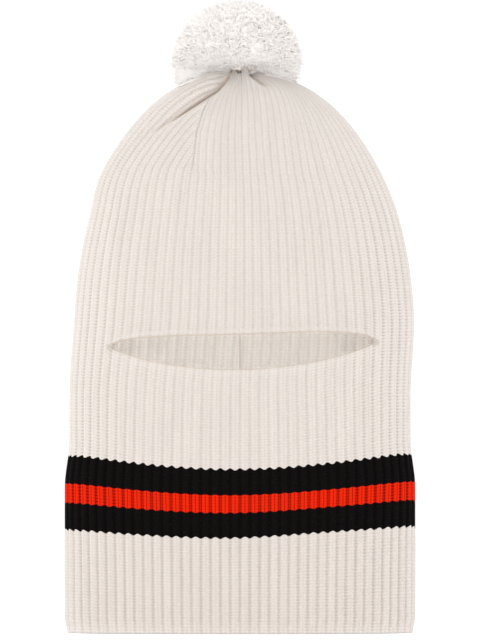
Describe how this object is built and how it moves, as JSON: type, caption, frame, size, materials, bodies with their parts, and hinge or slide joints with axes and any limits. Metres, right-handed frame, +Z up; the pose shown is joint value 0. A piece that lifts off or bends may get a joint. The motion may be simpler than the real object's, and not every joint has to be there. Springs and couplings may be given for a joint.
{
  "type": "balaclava",
  "caption": "Rib-knit balaclava with a crescent eye opening, contrast stripes round the neck and a yarn pompom that flops on its tie at the crown.",
  "frame": {"origin": "on the surface that the neck hem stands on, under the middle of the hood", "axes": "+Z up to the crown, the face looks along -Y, +X to the right of someone facing it"},
  "size_m": [0.254, 0.0919, 0.46],
  "materials": {
    "cream_knit": "matte chunky 2x2 rib knit, off-white",
    "black_knit": "matte chunky 2x2 rib knit, black",
    "orange_knit": "matte chunky 2x2 rib knit, bright red-orange",
    "cream_binding": "matte linked yarn edge, off-white",
    "cream_thread": "matte twisted yarn, off-white",
    "pompom_yarn": "matte cut yarn, fuzzy, off-white"
  },
  "bodies": {
    "hood": {"hem_cast_on_edge": "cream_knit", "neck_hem_knit": "cream_knit", "lower_black_stripe": "black_knit", "orange_stripe": "orange_knit", "upper_black_stripe": "black_knit", "hood_knit": "cream_knit", "eye_opening_lower_binding": "cream_binding", "eye_opening_upper_binding": "cream_binding", "eye_corner_tack_left": "cream_binding", "eye_corner_tack_right": "cream_binding", "back_seam": "cream_binding", "lower_black_yarn_tail": "black_knit", "orange_yarn_tail": "orange_knit", "upper_black_yarn_tail": "black_knit", "crown_gather_thread": "cream_thread", "pompom_tie_cord": "cream_thread", "pompom_inner_knot": "cream_thread"},
    "pompom_tie": {"pompom_tie_knot": "cream_thread"},
    "pompom": {"pompom_core_tie": "cream_thread", "pompom_yarn": "pompom_yarn"}
  },
  "joints": [
    {"name": "pompom_side_swing", "type": "hinge", "parent": "hood", "child": "pompom_tie", "pos_m": [0, 0, 0.4115], "axis": [0, 1, 0], "range_deg": [-15, 15], "stiffness_Nm_per_rad": 0.03},
    {"name": "pompom_nod", "type": "hinge", "parent": "pompom_tie", "child": "pompom", "pos_m": [0, 0, 0.4115], "axis": [1, 0, 0], "range_deg": [-18, 18], "stiffness_Nm_per_rad": 0.03}
  ]
}
